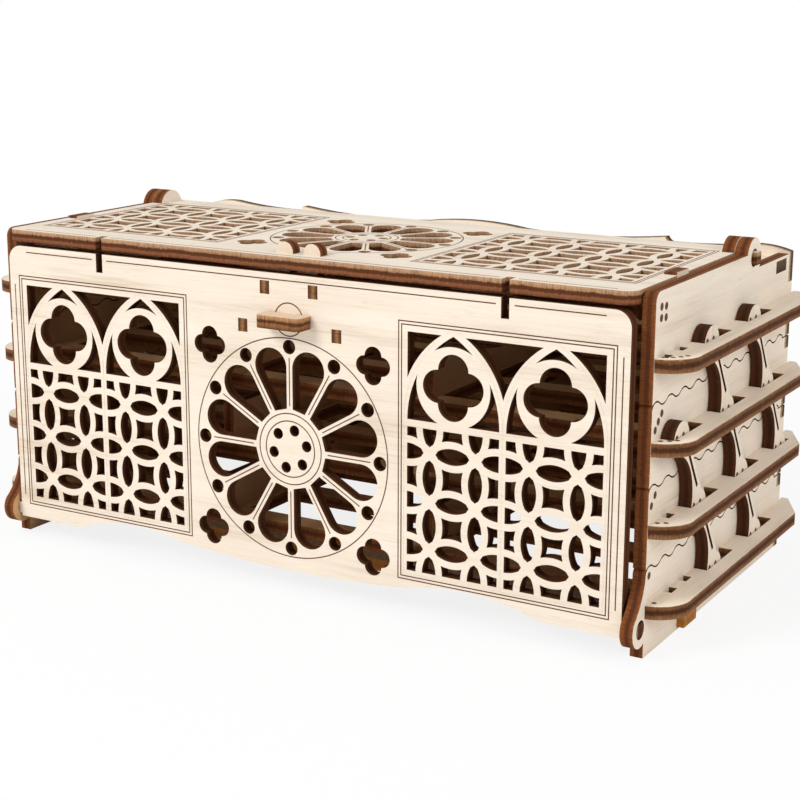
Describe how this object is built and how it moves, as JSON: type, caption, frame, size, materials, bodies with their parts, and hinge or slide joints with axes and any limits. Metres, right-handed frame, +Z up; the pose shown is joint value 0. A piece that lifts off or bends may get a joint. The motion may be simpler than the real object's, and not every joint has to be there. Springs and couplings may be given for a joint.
{
  "type": "mechanical card holder",
  "caption": "Plywood card box with a fretwork lid and drop front; stacked card tiers swing back on side bars into stepped rows.",
  "frame": {"origin": "middle of the box's outline at the table surface", "axes": "+Z up, front towards -Y, +X to the right along the width"},
  "size_m": [0.2542, 0.1334, 0.1113],
  "materials": {
    "ply_panel": "bare birch plywood, laser cut",
    "ply_side": "bare birch plywood, laser cut",
    "ply_bar": "bare birch plywood, laser cut",
    "ply_inner": "bare birch plywood, laser cut",
    "dowel": "turned hardwood"
  },
  "bodies": {
    "base": {"base_left_side": "ply_side", "base_right_side": "ply_side", "base_left_ledge": "ply_side", "base_right_ledge": "ply_side", "base_floor": "ply_inner", "base_left_divider": "ply_inner", "base_right_divider": "ply_inner", "base_back": "ply_side", "base_pivot_pins": "dowel", "base_rail": "ply_inner"},
    "tier_2": {"tier_2_left_side": "ply_side", "tier_2_right_side": "ply_side", "tier_2_left_ledge": "ply_side", "tier_2_right_ledge": "ply_side", "tier_2_floor": "ply_inner", "tier_2_left_divider": "ply_inner", "tier_2_right_divider": "ply_inner", "tier_2_back": "ply_side", "tier_2_pivot_pins": "dowel"},
    "tier_3": {"tier_3_left_side": "ply_side", "tier_3_right_side": "ply_side", "tier_3_left_ledge": "ply_side", "tier_3_right_ledge": "ply_side", "tier_3_floor": "ply_inner", "tier_3_left_divider": "ply_inner", "tier_3_right_divider": "ply_inner", "tier_3_back": "ply_side", "tier_3_pivot_pins": "dowel"},
    "tier_4": {"tier_4_left_side": "ply_side", "tier_4_right_side": "ply_side", "tier_4_left_ledge": "ply_side", "tier_4_right_ledge": "ply_side", "tier_4_floor": "ply_inner", "tier_4_left_divider": "ply_inner", "tier_4_right_divider": "ply_inner", "tier_4_back": "ply_side", "tier_4_pivot_pins": "dowel", "rear_deck": "ply_side"},
    "long_bars": {"left_long_bar": "ply_bar", "right_long_bar": "ply_bar"},
    "front_bars": {"left_front_bar": "ply_bar", "right_front_bar": "ply_bar"},
    "rear_bars": {"left_rear_bar": "ply_bar", "right_rear_bar": "ply_bar"},
    "lid": {"lid_panel": "ply_panel", "left_lid_rib": "ply_inner", "right_lid_rib": "ply_inner", "left_lid_post": "ply_side", "right_lid_post": "ply_side"},
    "drop_front": {"front_panel": "ply_panel", "left_post_guide": "ply_inner", "right_post_guide": "ply_inner", "left_latch_stop": "ply_inner", "right_latch_stop": "ply_inner"},
    "latch": {"latch_disc": "ply_side", "latch_handle": "ply_side", "latch_tongue": "ply_inner"}
  },
  "joints": [
    {"name": "unfold", "type": "hinge", "parent": "base", "child": "long_bars", "pos_m": [0, 0.02605, 0.014], "axis": [-1, 0, 0], "range_deg": [0, 67.38]},
    {"name": "tier_2_level", "type": "hinge", "parent": "long_bars", "child": "tier_2", "pos_m": [0, 0.01005, 0.038], "axis": [-1, 0, 0], "range_deg": [-67.48, 0.1]},
    {"name": "tier_3_level", "type": "hinge", "parent": "long_bars", "child": "tier_3", "pos_m": [0, -0.00595, 0.062], "axis": [-1, 0, 0], "range_deg": [-67.48, 0.1]},
    {"name": "tier_4_level", "type": "hinge", "parent": "long_bars", "child": "tier_4", "pos_m": [0, -0.02195, 0.086], "axis": [-1, 0, 0], "range_deg": [-67.48, 0.1]},
    {"name": "front_bar_swing", "type": "hinge", "parent": "base", "child": "front_bars", "pos_m": [0, -0.01095, 0.014], "axis": [-1, 0, 0], "range_deg": [-0.1, 67.48]},
    {"name": "rear_bar_swing", "type": "hinge", "parent": "tier_2", "child": "rear_bars", "pos_m": [0, 0.04705, 0.038], "axis": [-1, 0, 0], "range_deg": [-0.1, 67.48]},
    {"name": "lid_hinge", "type": "hinge", "parent": "tier_4", "child": "lid", "pos_m": [0, 0.02465, 0.105], "axis": [-1, 0, 0], "range_deg": [0, 105]},
    {"name": "front_hinge", "type": "hinge", "parent": "base", "child": "drop_front", "pos_m": [0, -0.05795, 0.0096], "axis": [1, 0, 0], "range_deg": [0, 90]},
    {"name": "latch_turn", "type": "hinge", "parent": "drop_front", "child": "latch", "pos_m": [0, -0.05995, 0.0877], "axis": [0, 1, 0], "range_deg": [0, 90]}
  ],
  "couplings": [
    {"joint": "tier_2_level", "follows": "unfold", "ratio": -1},
    {"joint": "tier_3_level", "follows": "unfold", "ratio": -1},
    {"joint": "tier_4_level", "follows": "unfold", "ratio": -1},
    {"joint": "front_bar_swing", "follows": "unfold", "ratio": 1},
    {"joint": "rear_bar_swing", "follows": "unfold", "ratio": 1}
  ]
}
